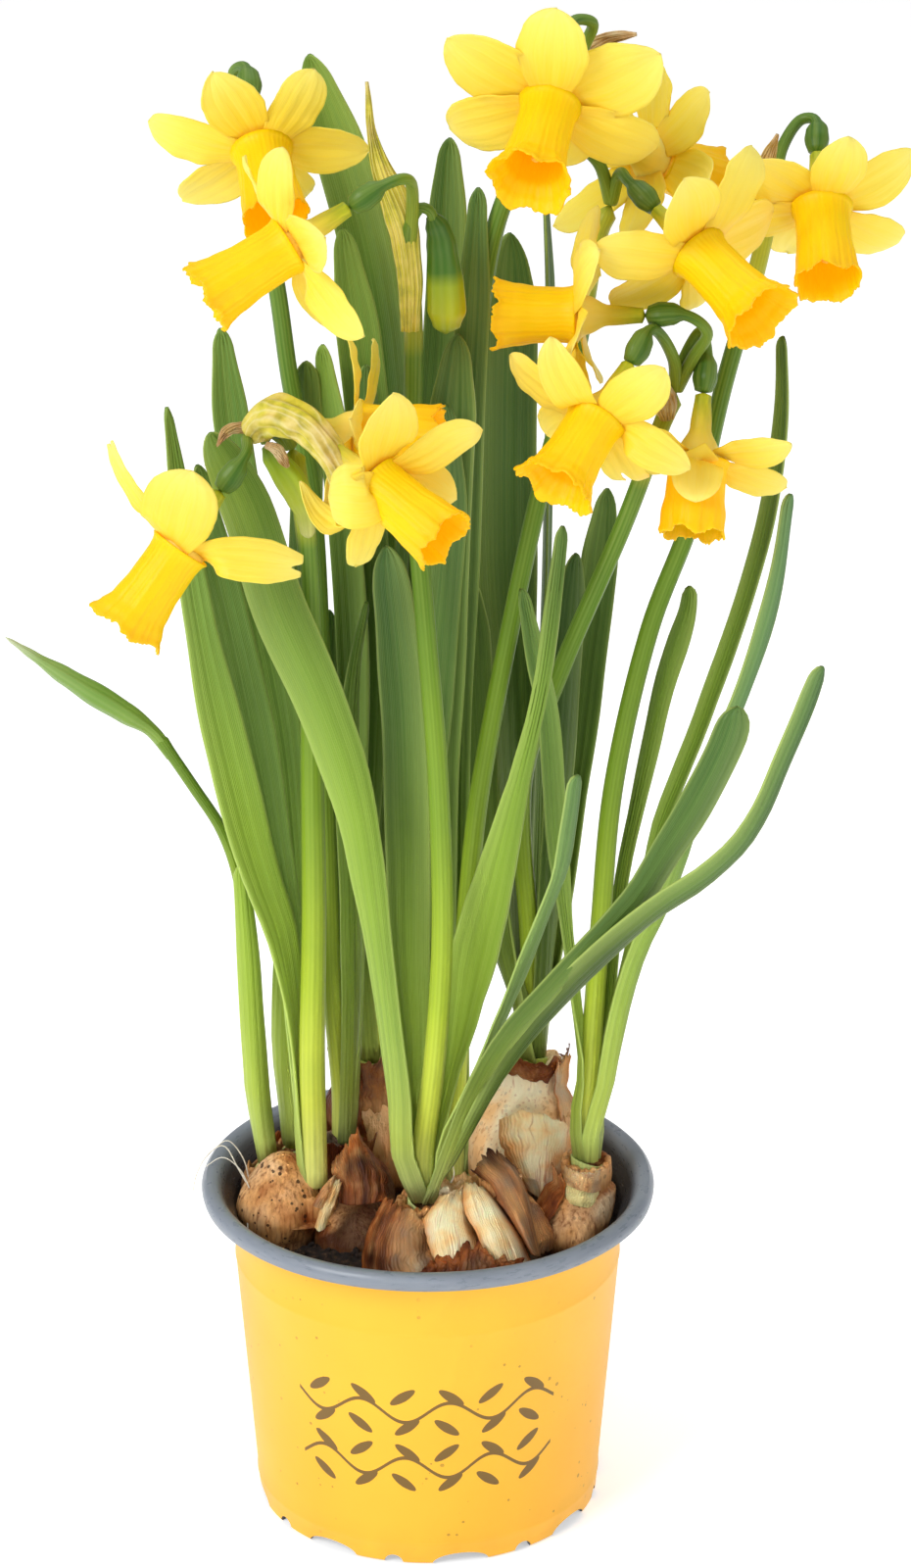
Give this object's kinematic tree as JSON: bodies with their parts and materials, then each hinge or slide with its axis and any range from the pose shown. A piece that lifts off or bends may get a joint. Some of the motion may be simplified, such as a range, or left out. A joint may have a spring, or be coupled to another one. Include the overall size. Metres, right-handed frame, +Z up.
{
  "type": "potted dwarf daffodil",
  "caption": "Dwarf yellow daffodils in full bloom, growing from bulbs that stand half out of the soil in a yellow nursery pot with a grey rim.",
  "frame": {"origin": "centre of the underside of the pot, at the level it stands on", "axes": "+Z up along the pot's axis, -Y towards the front seen in the picture, +X to the right seen from the front"},
  "size_m": [0.2282, 0.1343, 0.4105],
  "materials": {
    "pot": "thin printed plastic, satin, with a grey rolled rim",
    "soil": "damp crumbly potting soil",
    "bulb": "papery brown tunics over smooth cream flesh",
    "leaf": "satin, finely ribbed along its length",
    "stem": "satin, ridged along its length",
    "petal": "thin, soft and slightly translucent",
    "trumpet": "thin, soft, deeper orange at the frilled mouth",
    "bud": "satin green with a paler tip",
    "spathe": "dry and papery"
  },
  "bodies": {
    "root": {"pot": "pot", "bulb_front": "bulb", "bulb_left": "bulb", "bulb_mid_left": "bulb", "bulb_back_left": "bulb", "bulb_right": "bulb", "bulb_back_right": "bulb", "bulb_centre": "bulb", "soil": "soil", "leaves_front": "leaf", "leaves_front_rear": "leaf", "leaves_left": "leaf", "leaves_far_left": "leaf", "leaves_pale": "leaf", "leaves_mid_left": "leaf", "leaves_back_left": "leaf", "leaves_back_right": "leaf", "leaves_right": "leaf", "stem_front": "stem", "stem_tall_right": "stem", "stem_cluster_left": "stem", "stem_far_left": "stem", "stem_high_left": "stem", "stem_high_centre": "stem", "stem_cluster_right": "stem", "stem_right": "stem", "petals_01": "petal", "trumpet_01": "trumpet", "petals_02": "petal", "trumpet_02": "trumpet", "petals_03": "petal", "trumpet_03": "trumpet", "petals_04": "petal", "trumpet_04": "trumpet", "petals_05": "petal", "trumpet_05": "trumpet", "petals_06": "petal", "trumpet_06": "trumpet", "petals_07": "petal", "trumpet_07": "trumpet", "petals_08": "petal", "trumpet_08": "trumpet", "petals_09": "petal", "trumpet_09": "trumpet", "petals_10": "petal", "trumpet_10": "trumpet", "petals_11": "petal", "trumpet_11": "trumpet", "petals_12": "petal", "trumpet_12": "trumpet", "bud_nodding": "bud", "bud_spent": "bud", "bud_spathe": "bud", "spathe_front": "spathe", "spathe_high_centre": "spathe", "spathe_tall_right": "spathe", "spathe_right": "spathe", "spathe_cluster_right": "spathe", "spathe_cluster_left": "spathe"}
  },
  "joints": []
}
